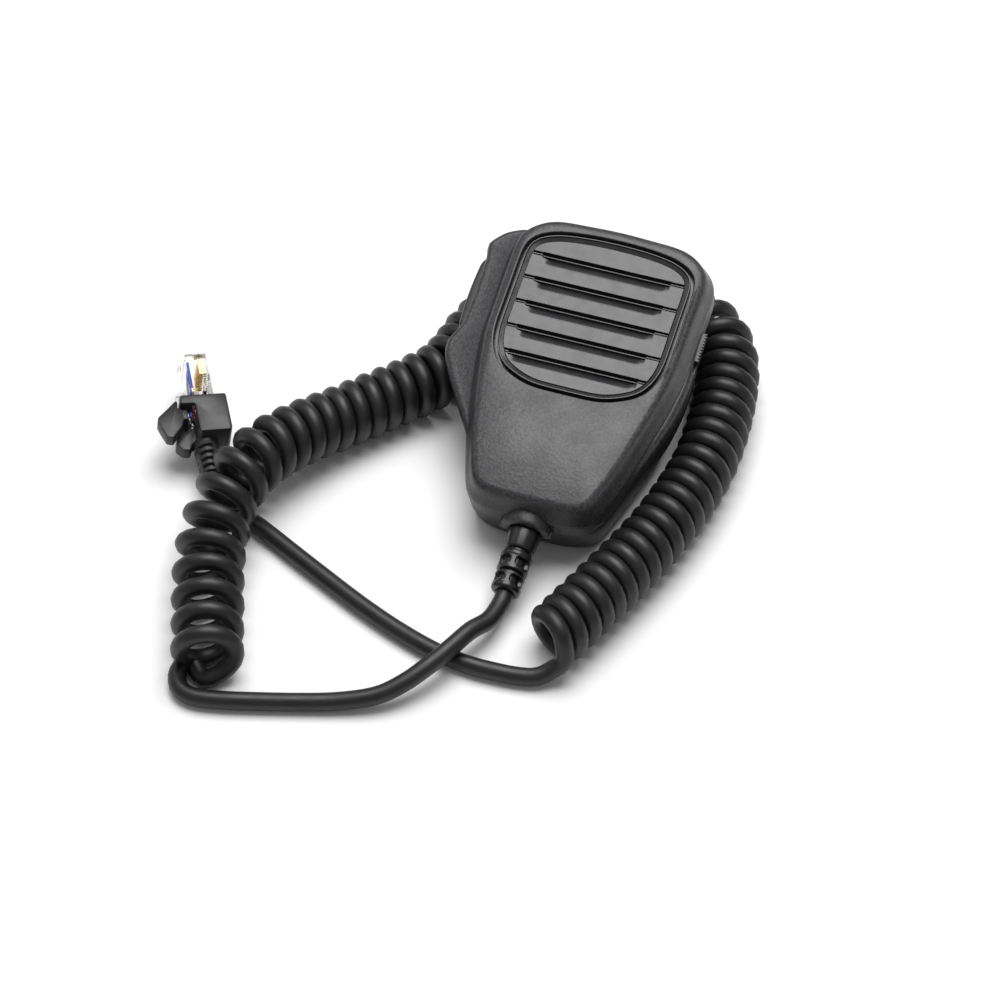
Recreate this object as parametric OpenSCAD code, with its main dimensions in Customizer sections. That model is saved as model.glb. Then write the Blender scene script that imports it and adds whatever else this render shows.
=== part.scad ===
// Hand microphone for a mobile radio, lying face up with its head end propped on its own curly cord.
// Case frame: X across, Y towards the head end, Z out of the face, with Z = 0 on the flat back.
// Row frame: Z up from the table, Y towards the head end.

/* [Case] */
// Length of the case from the cord end to the head end
case_len = 90; // [84:0.2:98]
// Width of the case without the push-to-talk wing
case_w = 62; // [56:1:68]
// Thickness from the flat back to the face
case_h = 25; // [23:0.5:28]
// Height of the parting seam above the back
seam_z = 13; // [12:0.5:14]
// Wall thickness of both shells
wall = 2; // [1.6:0.1:2.4]
// How far the push-to-talk wing reaches from the centre line
wing_x = 38.8; // [37:0.1:40]
// Angle at which the case is propped up on the cord
tilt = 14; // [10:0.5:16]

/* [Louvre panel] */
// Width of the louvre panel
panel_w = 49; // [44:0.5:50]
// Length of the louvre panel
panel_len = 50.6; // [46:0.2:51]
// Number of slots
slot_count = 5; // [3:1:5]
// Distance from one slot to the next
slot_pitch = 8; // [7:0.5:8]

/* [Push to talk] */
// Length of the lever that shows beside the wing
lever_len = 25; // [20:1:25]
// Height of the lever across its finger face
lever_h = 6.4; // [5:0.2:6.4]
// Radius of the pivot pin
pin_r = 1; // [0.8:0.1:1.2]
// Radial gap of the lever on its pin
pin_gap = 0.05; // [0.03:0.01:0.1]

/* [Slide switch] */
// Length of the slot in the side wall
slide_slot = 13; // [11:0.5:14]
// Length of the ribbed thumb piece
thumb_len = 9; // [8:0.5:9.5]

/* [Hanging button] */
// Radius of the button's head
button_r = 7.5; // [6:0.1:8]
// Thickness of the button's head
button_head = 2.6; // [2:0.1:3]
// Length of the neck between the head and the back
button_neck = 4; // [3:0.1:5]

/* [Cord] */
// Diameter of the cord
cord_d = 5; // [4.6:0.1:5.4]
// Outer diameter of the curled stretch
coil_d = 18.4; // [17:0.1:18.8]
// Length of the moulded strain relief outside the case
relief_len = 22; // [18:0.5:24]

/* [Plug] */
// Width of the eight-way modular plug
plug_w = 11.7; // [11.5:0.1:11.8]
// Thickness of the plug's body without its latch
plug_h = 6.6; // [6.4:0.1:6.8]
// Length of plug that stands out of its boot
plug_out = 16.2; // [14:0.2:17]
// Length of the boot's square block
boot_len = 13.4; // [13:0.2:15]

/* [Hidden] */
$fn = 48;
// Seen from the case's origin, the middle of the case's footprint on the table
frame_x = 3.9;
frame_y = 3.2;
// Where the cord's own routes are measured from
cord_from = [4.2, 2.1, 0];
tail_y = -44;
head_y = tail_y + case_len;
// Inset of the flat back from the seam's outline; its tail edge rests on the table
back_inset = 3.2;
lift = -(tail_y + back_inset) * sin(tilt);
half_w = case_w / 2;
// Levels inside the case, above the back
base_top = 17;
cavity_top = 21;
ledge_z = 22.6;
board_z = 11;
board_t = 1.6;
board_top = board_z + board_t;
// Louvre panel
panel_y = 15.8;
slot_y = 32.4;
window_w = 37;
window_len = 39;
// Screws
case_screws_at = [[21, 35], [-21, 35], [13.6, -29.5], [-13.6, -29.5]];
case_pilot_r = 1.3;
board_screws_at = [[21.4, 25], [-21.4, 25], [18.6, -15], [-18.6, -15]];
board_pilot_r = 1;
clamp_screws_at = [[6.2, -32.5], [-6.2, -32.5]];
screw_gap = 0.1;
// Push-to-talk lever and its switch
lever_top = 33;
lever_low = lever_top - lever_len;
lever_z = 11.5;
pivot = [-33.4, 30.6];
lever_in = -32.4;
ptt_y = 14.5;
spring_y = 22;
spring_seat = -28.6;
// Slide switch
slide_y = 18;
slide_z = 15.1;
thumb_h = 2.2;
// Hanging button
button_y = 12;
button_bore = 2.15;
// Strain relief axis lies on the parting seam
relief_r = 4.6;
relief_out_y = -43.5;
relief_in_y = -37;
relief_end_y = relief_out_y - relief_len;
// Plug stands on one narrow side of its boot
plug_at = [-95.3, -42.8, 8];
plug_turn = 30;
plug_nose_up = 2;
plug_roll = -82;
boot_w = 14;
boot_low = -7.1;
boot_top = 6.1;
plug_low = -3.9;
plug_top = plug_low + plug_h;
plug_tip = boot_len + plug_out;
plug_relief = 12;
latch_pivot = [plug_tip - 1.4, plug_top + 0.75];
latch_rise = 11;
latch_len = 17;
flap_pivot = [13, 6.5];

// Route of the lead from the strain relief to the first turn of the curl
lead_mic_route = [
    [-1.5, -75.6, 6.4], [-4.6, -81.6, 7.8], [-7.7, -88.8, 8], [-11.3, -95.6, 7.4], [-16, -102, 5.9],
    [-22, -107.2, 4.2], [-31.2, -111.3, 3], [-41.5, -114.7, 2.6], [-52, -117.9, 2.6],
    [-61, -120.4, 2.6], [-68.4, -121.2, 3]
];
// Route of the curl's axis, from the open end on the left, under the case, to the open end on the right
coil_route = [
    [-66.6, -114.6, 9.6], [-69.6, -107, 9.7], [-72.6, -99, 9.7], [-75.7, -91, 9.8], [-79, -81, 10.6],
    [-80.8, -71, 12.4], [-80.8, -62, 14.2], [-79.2, -53, 15], [-75.9, -43.5, 14.2], [-70.3, -33.2, 12.2],
    [-63.2, -23.1, 10], [-54.8, -13.1, 9.3], [-47.2, -4.4, 9.2], [-41.4, 3.8, 9.2], [-38.9, 12, 9.2],
    [-37.2, 21, 9.2], [-33.4, 31, 9.2], [-25.2, 40, 9.2], [-13.4, 45.6, 9.2], [0, 47.6, 9.2],
    [13, 48.2, 9.2], [23.2, 45.4, 9.2], [31, 38.2, 9.2], [35.4, 28, 9.2], [37.6, 16, 9.2],
    [38.6, 4, 9.2], [38.5, -8, 9.2], [36.8, -20, 9.2], [34.1, -32.3, 9.2], [30.6, -43.4, 9.2],
    [26.5, -54.5, 9.2], [22.1, -65.8, 9.2], [16.8, -79, 9.2]
];
// Route of the lead from the last turn of the curl to the plug, under the other lead and the curl
lead_plug_route = [
    [19.4, -86.2, 4.6], [15.8, -87.6, 3], [11, -88.3, 2.6], [5, -88.8, 2.6], [-2.4, -88.8, 2.6],
    [-12.4, -87.4, 2.6], [-24.4, -83.7, 2.6], [-36.4, -78.8, 2.6], [-48.5, -73.1, 2.6], [-60.6, -67.2, 2.6],
    [-71.2, -62, 2.6], [-79.4, -58.4, 2.6], [-85.4, -56.8, 3.6]
];

// Places the case's own frame on the table
module in_case()
    translate([frame_x, frame_y, lift]) rotate([tilt, 0, 0]) children();

// Places the plug's own frame: Y along the plug to its tip, Z towards the latch
module in_plug()
    translate(cord_from + plug_at)
        rotate([0, 0, plug_turn]) rotate([plug_nose_up, 0, 0]) rotate([0, plug_roll, 0]) children();

// A point of the case's frame in the row frame
function case_point(p) = [
    p[0] + frame_x, p[1] * cos(tilt) - p[2] * sin(tilt) + frame_y, p[1] * sin(tilt) + p[2] * cos(tilt) + lift
];

// A point on the plug's own axis in the row frame
function plug_axis_point(y) = cord_from + plug_at
    + y * [-sin(plug_turn) * cos(plug_nose_up), cos(plug_turn) * cos(plug_nose_up), sin(plug_nose_up)];

function unit(v) = v / norm(v);

// A smooth curve through the points of a route, with n pieces between each two
function curve_at(a, b, c, d, t) = 0.5 * (2 * b + (c - a) * t + (2 * a - 5 * b + 4 * c - d) * t * t
    + (3 * b - a - 3 * c + d) * t * t * t);
function smooth(route, n) = let (m = len(route) - 1) concat(
    [for (i = [0 : m - 1], k = [0 : n - 1])
        curve_at(route[max(i - 1, 0)], route[i], route[i + 1], route[min(i + 2, m)], k / n)],
    [route[m]]);

// One closed tube along a list of points
module tube(path, r, sides) {
    m = len(path) - 1;
    rings = [for (i = [0 : m]) let (
        along = unit(path[min(i + 1, m)] - path[max(i - 1, 0)]),
        side = unit(cross(along, abs(along[2]) > 0.9 ? [1, 0, 0] : [0, 0, 1])),
        up = cross(side, along)
    ) for (k = [0 : sides - 1]) path[i] + r * (cos((k + 0.5) * 360 / sides) * side + sin((k + 0.5) * 360 / sides) * up)];
    walls = [for (i = [0 : m - 1], k = [0 : sides - 1]) let (a = i * sides, b = (k + 1) % sides)
        [a + k, a + b, a + sides + b, a + sides + k]];
    polyhedron(rings, concat([[for (k = [sides - 1 : -1 : 0]) k]], walls, [[for (k = [0 : sides - 1]) m * sides + k]]), 4);
}

// A round bar between two points
module rod(a, b, r) {
    v = b - a;
    translate(a) rotate([0, acos(v[2] / norm(v)), atan2(v[1], v[0])]) cylinder(h = norm(v), r = r);
}

// Round cylinder that lies along Y, from y0 to y1
module bar_y(r, y0, y1, z = 0)
    translate([0, y0, z]) rotate([-90, 0, 0]) cylinder(h = y1 - y0, r = r);

// Right half of an outline mirrored to the left
module both_sides(half)
    polygon(concat(half, [for (i = [len(half) - 1 : -1 : 0]) [-half[i][0], half[i][1]]]));

// Outline of the case at the parting seam, without the wing
module seam_outline(grow = 0)
    offset(delta = grow) offset(r = 6) offset(delta = -6)
        both_sides([[0, head_y + 0.6], [21, head_y - 1.2], [half_w - 2, head_y - 9], [half_w, 22],
            [half_w, 4], [27.5, -15], [20.6, -34], [17, tail_y + 3], [9, tail_y]]);

// Outline of the raised face pod
module face_outline(grow = 0)
    offset(delta = grow) offset(r = 5) offset(delta = -5)
        both_sides([[0, head_y - 1.6], [20, head_y - 2.5], [27.2, head_y - 8.2], [27, 5], [24.8, -8],
            [20.6, -27], [15.8, tail_y + 2], [8, tail_y + 1.6]]);

// Outline of the raised face pod where it meets the shelf
module pod_foot_outline()
    offset(r = 5) offset(delta = -5)
        both_sides([[0, head_y - 0.4], [19, head_y - 1.5], [26.8, head_y - 7], [29, 24], [29, 6],
            [27, -9], [21.2, -31], [17.6, tail_y + 2], [8.6, tail_y + 0.4]]);

// Outline of the wing on the left that carries the push-to-talk lever
module wing_outline(grow = 0)
    offset(delta = grow) offset(r = 2) offset(delta = -2)
        polygon([[-15, head_y - 2.2], [-28.4, head_y - 2.7], [-33.5, head_y - 5.2], [-37.6, head_y - 10.2],
            [-36.4, 33], [-36.4, 8], [-wing_x, 4], [-38, 0], [-31, -12.6], [-24.2, -23.6], [-18.6, -35.4], [-15, -38]]);

// A thin sheet of an outline at a given level, for hulls
module sheet(z) translate([0, 0, z]) linear_extrude(0.01) children();

// Outline of the louvre panel: crowned top corners and wide bottom curves
module panel_outline(grow = 0)
    translate([0, panel_y]) offset(delta = grow) offset(r = 7) offset(delta = -7) intersection() {
        square([panel_w, panel_len], center = true);
        translate([0, -54.4]) circle(r = 80, $fn = 120);
        translate([0, 6.8]) circle(r = 32.1, $fn = 96);
    }

module front_shell_outside() {
    hull() {
        sheet(seam_z) seam_outline();
        sheet(base_top - 1.4) seam_outline();
        sheet(base_top) seam_outline(-1.6);
    }
    hull() {
        sheet(base_top - 1) pod_foot_outline();
        sheet(case_h - 2.4) face_outline();
        sheet(case_h - 0.8) face_outline(-0.7);
        sheet(case_h - 0.01) face_outline(-2);
    }
    difference() {
        union() {
            translate([0, 0, seam_z]) linear_extrude(base_top - seam_z - 0.8) wing_outline();
            translate([0, 0, seam_z]) linear_extrude(base_top - seam_z) wing_outline(-0.8);
        }
        translate([0, 0, seam_z - 1]) linear_extrude(9) offset(delta = -4) seam_outline();
    }
    // Arched collar over the strain relief
    intersection() {
        bar_y(7.4, tail_y - 1.5, tail_y + 6, seam_z);
        translate([-9, tail_y - 2, seam_z]) cube([18, 9, 9]);
    }
}

module ptt_window(z0, z1)
    translate([-wing_x - 2, lever_low - 0.5, z0]) cube([8, lever_len + 1, z1 - z0]);

// Upper shell with the face pod, the collar, the bosses and the posts
module front_case() color([0.27, 0.27, 0.28]) in_case() difference() {
    union() {
        difference() {
            front_shell_outside();
            hull() {
                sheet(seam_z - 0.1) seam_outline(-wall);
                sheet(base_top - 2.4) seam_outline(-wall);
                sheet(cavity_top) face_outline(-wall - 0.4);
            }
            translate([0, 0, seam_z - 0.1]) linear_extrude(base_top - seam_z - wall + 0.1) difference() {
                wing_outline(-wall);
                translate([-18, -50]) square([60, 100]);
            }
        }
        for (p = case_screws_at) translate([p[0], p[1], seam_z]) cylinder(h = 9, r = 3.2);
        for (p = board_screws_at) translate([p[0], p[1], board_top]) cylinder(h = 9, r = 2.2);
        for (p = clamp_screws_at) translate([p[0], p[1], seam_z + 0.2]) cylinder(h = 8.5, r = 2.2);
        translate([pivot[0], pivot[1], lever_z + lever_h / 2 + 0.3]) cylinder(h = 1.6, r = 2.2);
    }
    translate([0, 0, ledge_z]) linear_extrude(9) panel_outline(0.15);
    translate([-window_w / 2, panel_y - window_len / 2, 0]) cube([window_w, window_len, 30]);
    for (p = case_screws_at) translate([p[0], p[1], seam_z - 1]) cylinder(h = 8, r = case_pilot_r);
    for (p = board_screws_at) translate([p[0], p[1], board_top - 1]) cylinder(h = 7, r = board_pilot_r);
    for (p = clamp_screws_at) translate([p[0], p[1], seam_z - 1]) cylinder(h = 7, r = board_pilot_r);
    translate([pivot[0], pivot[1], seam_z]) cylinder(h = 3.2, r = pin_r + pin_gap);
    ptt_window(seam_z - 1, lever_z + lever_h / 2 + 0.3);
    translate([half_w - 5, slide_y - slide_slot / 2, slide_z - 1.3]) cube([9, slide_slot, 2.6]);
    bar_y(relief_r + 0.05, tail_y - 3, relief_in_y - 1, seam_z);
    bar_y(6.6, relief_in_y - 3.4, relief_in_y + 0.1, seam_z);
}

// Lower shell with the screw bosses, the spring's seat and the pin's socket
module rear_case() color([0.2, 0.2, 0.21]) in_case() difference() {
    union() {
        difference() {
            union() {
                hull() {
                    sheet(seam_z - 0.31) seam_outline(-0.3);
                    sheet(7) seam_outline(-0.7);
                    sheet(1.4) seam_outline(-1.7);
                    sheet(0) seam_outline(-back_inset);
                }
                hull() {
                    sheet(seam_z - 0.31) wing_outline(-0.3);
                    sheet(6.4) wing_outline(-1.2);
                    translate([-24, -14, 3]) cube([4, 52, 1]);
                }
            }
            hull() {
                sheet(seam_z) seam_outline(-wall - 0.3);
                sheet(7) seam_outline(-wall - 1.4);
                sheet(2.2) seam_outline(-wall - 5);
            }
            hull() {
                sheet(seam_z) wing_outline(-wall - 0.3);
                sheet(8) wing_outline(-wall - 1.2);
                translate([-22, -10, 5]) cube([4, 44, 1]);
            }
        }
        for (p = case_screws_at) translate([p[0], p[1], 0.5]) cylinder(h = seam_z - 0.8, r = 3.6);
        translate([spring_seat, spring_y - 2.6, 1.6]) cube([1.4, 5.2, 11]);
        translate([pivot[0], pivot[1], 6.7]) cylinder(h = lever_z - lever_h / 2 - 7, r = 2.2);
    }
    for (p = case_screws_at) {
        translate([p[0], p[1], -1]) cylinder(h = 4, r = 2.6);
        translate([p[0], p[1], 0]) cylinder(h = 20, r = case_pilot_r + screw_gap);
    }
    translate([0, button_y, -1]) cylinder(h = 5, r = button_bore);
    translate([pivot[0], pivot[1], 7.2]) cylinder(h = 6, r = pin_r + pin_gap);
    ptt_window(lever_z - lever_h / 2 - 0.3, seam_z + 1);
    bar_y(relief_r + 0.05, tail_y - 3, relief_in_y - 1, seam_z);
    bar_y(6.6, relief_in_y - 3.4, relief_in_y + 0.1, seam_z);
}

// Half width of a louvre slot at a given height on the panel
function slot_half(y) = y < 5 ? 21.4 : 22.4;

// Glossy insert with the louvre slots, the shaded pockets under them and the double border groove
module louvre_panel() color([0.36, 0.36, 0.38]) in_case() difference() {
    translate([0, 0, ledge_z + 0.05]) linear_extrude(case_h - ledge_z - 0.05) panel_outline();
    translate([0, 0, case_h - 0.9]) linear_extrude(2) difference() {
        panel_outline(-0.7);
        panel_outline(-1.7);
    }
    for (i = [0 : slot_count - 1]) let (y = slot_y - i * slot_pitch) {
        translate([-slot_half(y), y - 0.6, case_h - 1.2]) cube([2 * slot_half(y), 1.2, 3]);
        translate([-window_w / 2 + 0.6, y - 1, ledge_z - 1]) cube([window_w - 1.2, 2, 5]);
        translate([0, 0, case_h - 0.8]) linear_extrude(2)
            polygon([[-18.4, y], [18.4, y], [15.6, y - 3], [-15.6, y - 3]]);
    }
}

// Thin sheet that keeps dust out of the capsule
module panel_felt() color([0.08, 0.08, 0.08]) in_case()
    translate([-window_w / 2 + 0.4, panel_y - window_len / 2 + 0.4, ledge_z - 0.8])
        cube([window_w - 0.8, window_len - 0.8, 0.75]);

module mic_capsule() color([0.75, 0.75, 0.76]) in_case() translate([0, panel_y, board_top + 2]) {
    cylinder(h = 6, r = 4.85);
    translate([1.3, 0, -1.4]) cylinder(h = 1.4, r = 0.4);
    translate([-1.3, 0, -1.4]) cylinder(h = 1.4, r = 0.4);
}

// Rubber sleeve that holds the capsule between the board and the felt
module capsule_holder() color([0.1, 0.1, 0.1]) in_case() translate([0, panel_y, board_top]) difference() {
    cylinder(h = ledge_z - 0.9 - board_top, r = 7);
    translate([0, 0, 2]) cylinder(h = 9, r = 4.9);
    translate([0, 0, -1]) cylinder(h = 9, r = 2.6);
}

module circuit_board() color([0.1, 0.35, 0.2]) in_case() translate([0, 0, board_z]) difference() {
    linear_extrude(board_t) polygon([[-24, 29], [24, 29], [24, 24], [26.4, 24], [26.4, 11], [24, 9], [21.8, -20],
        [-21.8, -20], [-24, 6], [-28, 9], [-28, 18.6], [-24, 18.6]]);
    for (p = board_screws_at) translate([p[0], p[1], -1]) cylinder(h = 4, r = 1.2);
}

// Chips and capacitors soldered on the board
module board_parts() color([0.12, 0.12, 0.13]) in_case() translate([0, 0, board_top]) {
    translate([-14, -2, 0]) cube([7, 5, 1.5]);
    translate([9, -4, 0]) cube([6, 6, 1.6]);
    translate([-14, 12, 0]) cylinder(h = 5, r = 2);
    translate([14, 14, 0]) cylinder(h = 5, r = 2);
    for (x = [-4 : 4 : 4]) translate([x - 1, -8, 0]) cube([2, 1.2, 0.8]);
}

// Pan-head screw whose head sits below z = 0 and whose shank points up
module screw(r, len, head_r, head_h) {
    cylinder(h = len, r = r);
    difference() {
        translate([0, 0, -head_h]) cylinder(h = head_h, r = head_r);
        for (a = [0, 90]) rotate(a) translate([-head_r * 0.6, -0.25, -head_h - 1]) cube([head_r * 1.2, 0.5, 1.8]);
    }
}

module board_screws() color([0.7, 0.7, 0.72]) in_case() for (p = board_screws_at)
    translate([p[0], p[1], board_z]) screw(0.95, 6.5, 1.8, 1.3);

module case_screws() color([0.15, 0.15, 0.16]) in_case() for (p = case_screws_at)
    translate([p[0], p[1], 3]) screw(1.2, 15.5, 2.4, 1.8);

// Finger lever with a bowed outer face, a rib for the switch and a tail that stops inside the wall
module ptt_lever() color([0.16, 0.16, 0.17]) in_case() difference() {
    union() {
        translate([0, 0, lever_z - lever_h / 2]) linear_extrude(lever_h) intersection() {
            polygon([[-40, lever_low], [-40, lever_top], [lever_in, lever_top], [lever_in, lever_low]]);
            translate([82, 20.5]) circle(r = 120.1, $fn = 720);
        }
        translate([lever_in - 0.2, ptt_y - 1.5, lever_z]) cube([1, 3, 3]);
        translate([-33.8, lever_low - 2.6, lever_z - 2]) cube([1.4, 2.8, 4]);
    }
    translate([pivot[0], pivot[1], 0]) cylinder(h = 30, r = pin_r + pin_gap);
    translate([-40, lever_low - 3, lever_z - lever_h]) cube([4.4, 3, 2 * lever_h]);
}

module ptt_pivot_pin() color([0.75, 0.75, 0.76]) in_case()
    translate([pivot[0], pivot[1], 7.3]) cylinder(h = 8.8, r = pin_r);

// Small compression spring behind the lever
module ptt_return_spring() color([0.75, 0.75, 0.76]) in_case() {
    turns = 4;
    len = spring_seat - lever_in - 0.6;
    tube([for (i = [0 : turns * 12]) [lever_in + 0.3 + len * i / turns / 12, spring_y + 1.6 * cos(i * 30),
        lever_z - 0.4 + 1.6 * sin(i * 30)]], 0.22, 6);
}

module ptt_switch_body() color([0.2, 0.2, 0.2]) in_case() difference() {
    translate([-28, ptt_y - 3, board_top]) cube([5, 6, 3]);
    translate([-28.5, ptt_y, lever_z + 2.5]) rotate([0, 90, 0]) cylinder(h = 3.5, r = 1.05);
}

module ptt_switch_plunger() color([0.8, 0.3, 0.1]) in_case()
    translate([-31.3, ptt_y, lever_z + 2.5]) rotate([0, 90, 0]) cylinder(h = 4.8, r = 1);

module slide_switch_can() color([0.75, 0.75, 0.76]) in_case() difference() {
    translate([22.4, slide_y - 5.2, board_top]) cube([4.2, 9.9, 4.1]);
    translate([22.8, slide_y - 4.6, board_top + 0.6]) cube([3.3, 8.8, 3.2]);
    translate([26, slide_y - 3.9, slide_z - 1]) cube([2, 7.8, 2]);
}

// Contact carrier that moves inside the can
module slide_switch_slider() color([0.9, 0.9, 0.85]) in_case() {
    translate([23.2, slide_y - 0.2, slide_z - 1.3]) cube([2.6, 4, 2.4]);
    translate([25.5, slide_y + 0.3, slide_z - 0.7]) cube([2.5, 3, 1.4]);
}

// Ribbed thumb piece in the side wall's slot
module slide_switch_thumb() color([0.1, 0.1, 0.1]) in_case() difference() {
    translate([28, slide_y + slide_slot / 2 - 0.5 - thumb_len, slide_z - thumb_h / 2])
        cube([half_w - 28.1, thumb_len, thumb_h]);
    for (i = [0 : 8])
        translate([half_w - 0.5, slide_y + slide_slot / 2 - 1.3 - i * 0.95, slide_z - 3]) cube([2, 0.45, 6]);
}

module hanging_button() color([0.6, 0.6, 0.62]) in_case() translate([0, button_y, 0]) difference() {
    union() {
        translate([0, 0, -button_neck - button_head]) cylinder(h = button_head, r = button_r);
        translate([0, 0, -button_neck - 0.1]) cylinder(h = button_neck + 0.1, r = 4.25);
    }
    translate([0, 0, -button_neck - button_head - 1]) cylinder(h = 9, r = button_bore);
    translate([0, 0, -button_neck - button_head - 1]) cylinder(h = 3.2, r = 4);
}

module hanging_button_screw() color([0.7, 0.7, 0.72]) in_case()
    translate([0, button_y, -button_neck - button_head + 2.2]) screw(2, 10.8, 3.8, 2);

module hanging_button_washer() color([0.75, 0.75, 0.76]) in_case() translate([0, button_y, 2.25]) difference() {
    cylinder(h = 0.7, r = 4.5);
    translate([0, 0, -1]) cylinder(h = 3, r = 2.1);
}

module hanging_button_nut() color([0.75, 0.75, 0.76]) in_case() translate([0, button_y, 3]) difference() {
    cylinder(h = 3.2, r = 4.04, $fn = 6);
    translate([0, 0, -1]) cylinder(h = 6, r = 2.05);
}

// Moulded sleeve: flange inside the case, smooth cone outside, then ringed segments with windows
module strain_relief() color([0.13, 0.13, 0.14]) in_case() translate([0, 0, seam_z]) difference() {
    union() {
        bar_y(6.5, relief_in_y - 2, relief_in_y);
        bar_y(4.6, relief_out_y, relief_in_y - 1);
        translate([0, relief_out_y - 10, 0]) rotate([-90, 0, 0]) cylinder(h = 10, r1 = 4.2, r2 = 4.6);
        bar_y(2.72, relief_end_y, relief_out_y - 9);
        for (i = [0 : 2]) bar_y(4.3 - 0.15 * i, relief_out_y - 12 - 4.9 * i, relief_out_y - 10.2 - 4.9 * i);
        for (a = [0, 90, 180, 270]) rotate([0, a, 0])
            translate([-1.1, relief_end_y + 0.2, 0]) cube([2.2, 12, 3.9]);
    }
}

module cable_tail() color([0.1, 0.1, 0.1]) in_case() bar_y(cord_d / 2, relief_in_y + 0.02, -29.5, seam_z);

module cable_clamp() color([0.65, 0.65, 0.67]) in_case() difference() {
    translate([-8.6, -35, 9.6]) cube([17.2, 5, 3.5]);
    bar_y(cord_d / 2 + 0.02, -40, -20, seam_z);
    for (p = clamp_screws_at) translate([p[0], p[1], 5]) cylinder(h = 12, r = 1.2);
}

module cable_clamp_screws() color([0.7, 0.7, 0.72]) in_case() for (p = clamp_screws_at)
    translate([p[0], p[1], 9.6]) screw(0.95, 8, 1.8, 1.3);

// Header on the board with the wires' socket
module wire_header() color([0.9, 0.88, 0.8]) in_case() difference() {
    translate([-8, -18, board_top]) cube([16, 5, 4.5]);
    for (i = [0 : 7]) translate([-6.3 + 1.8 * i, -18.5, 15]) rotate([-90, 0, 0]) cylinder(h = 3.5, r = 0.5);
}

module inner_wires() color([0.8, 0.6, 0.2]) in_case() for (i = [0 : 7])
    rod([-1.75 + 0.5 * i, -29.4, seam_z + (i % 2 == 0 ? 0.9 : -0.5)], [-6.3 + 1.8 * i, -18.1, 15], 0.45 - 0.2 * 0.5);

// A point off the end face of the curl, on the cord's own place in the last turn
function coil_end(i, side, out) = let (
    a = coil_route[i], b = coil_route[i == 0 ? 1 : i - 1], away = unit(a - b)
) cord_from + a + out * away + side * (coil_d - cord_d) / 2 * cross(away, [0, 0, 1]);

// The leads meet the strain reliefs and the curl's ends face to face
module cord_lead_mic() color([0.13, 0.13, 0.14])
    tube(smooth(concat(
        [case_point([0, relief_end_y - 0.02, seam_z]), case_point([0, relief_end_y - 3, seam_z])],
        [for (p = lead_mic_route) p + cord_from],
        [coil_end(0, 1, 4), coil_end(0, 1, 0.05)]), 2), cord_d / 2, 8);

module curly_cord() color([0.13, 0.13, 0.14])
    tube([for (p = coil_route) p + cord_from], coil_d / 2, 12);

module cord_lead_plug() color([0.13, 0.13, 0.14])
    tube(smooth(concat(
        [coil_end(len(coil_route) - 1, -1, 0.05), coil_end(len(coil_route) - 1, -1, 3)],
        [for (p = lead_plug_route) p + cord_from],
        [plug_axis_point(-plug_relief - 3), plug_axis_point(-plug_relief - 0.02)]), 2), cord_d / 2, 8);

module plug_strain_relief() color([0.12, 0.12, 0.13]) in_plug() {
    translate([0, -plug_relief, 0]) rotate([-90, 0, 0]) cylinder(h = plug_relief, r1 = 2.75, r2 = 3.6);
    for (i = [0 : 4]) bar_y(3.4 + 0.18 * i, -plug_relief + 0.4 + 2.4 * i, -plug_relief + 1.6 + 2.4 * i);
}

// A slab of a side-view outline of the plug, from x0 to x1 across it
module side_slab(points, x0, x1)
    translate([x0, 0, 0]) rotate([90, 0, 90]) linear_extrude(x1 - x0) polygon(points);

// Square rubber block behind the plug, with a recess behind its front bridge and a foot under the flap
module plug_boot() color([0.12, 0.12, 0.13]) in_plug() difference() {
    union() {
        side_slab([[0.02, boot_low + 0.6], [0.02, 2.1], [boot_len - 3.1, 2.1], [boot_len - 3.1, boot_top],
            [boot_len, boot_top], [boot_len, boot_low], [1, boot_low]], -boot_w / 2, boot_w / 2);
        side_slab([[6, 1.9], [5.6, 3.6], [3.6, 7.8], [0.2, 8.4], [-1.9, 6.6], [-2, 4.6], [0.3, 3.7], [0.3, 1.9]],
            -2.6, 1.4);
    }
    translate([-plug_w / 2 - 0.03, boot_len - 6.5, plug_low - 0.03]) cube([plug_w + 0.06, 9, plug_h + 0.06]);
    translate([-2.4, boot_len - 4.4, 2.4]) cube([4.8, 9, 5]);
}

// Soft flap that hinges at the bridge, with the button that presses the latch
module plug_boot_flap() color([0.12, 0.12, 0.13]) in_plug() {
    side_slab([[flap_pivot[0] + 0.4, 6.45], [7, 12.8], [5.6, 13.1], [3, 12.4], [-0.2, 11.3], [-0.8, 9.5],
        [3.4, 6.4], [6, 5.6], [9.8, 5.8], [9.9, 6.9]], 1.8, 5.6);
    translate([-2.2, 6.2, 4.2]) cube([7.2, 3.5, 2.2]);
}

// Clear plug body with the wire channels and the contact slots
module plug_body() color([0.85, 0.9, 0.95, 0.5]) in_plug() difference() {
    translate([-plug_w / 2, boot_len - 6.4, plug_low]) cube([plug_w, plug_out + 6.4, plug_h]);
    for (i = [0 : 7]) translate([-3.57 + 1.02 * i, 0, 0]) {
        translate([-0.2, plug_tip - 6.5, plug_low - 1]) cube([0.4, 5.5, 3.4]);
        translate([0, 0, 0.4]) rotate([-90, 0, 0]) cylinder(h = plug_tip - 2, r = 0.47);
    }
    translate([-4.6, boot_len - 7, -1.5]) cube([9.2, 4.5, 3]);
}

module plug_contacts() color([0.9, 0.75, 0.35]) in_plug() for (i = [0 : 7])
    translate([-3.72 + 1.02 * i, plug_tip - 6.3, plug_low + 0.5]) cube([0.3, 5.1, 1.85]);

module plug_wires() color([0.85, 0.3, 0.15]) in_plug() for (i = [0 : 7])
    translate([-3.57 + 1.02 * i, boot_len - 5, 0.4]) rotate([-90, 0, 0]) cylinder(h = plug_out + 2, r = 0.42);

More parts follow.
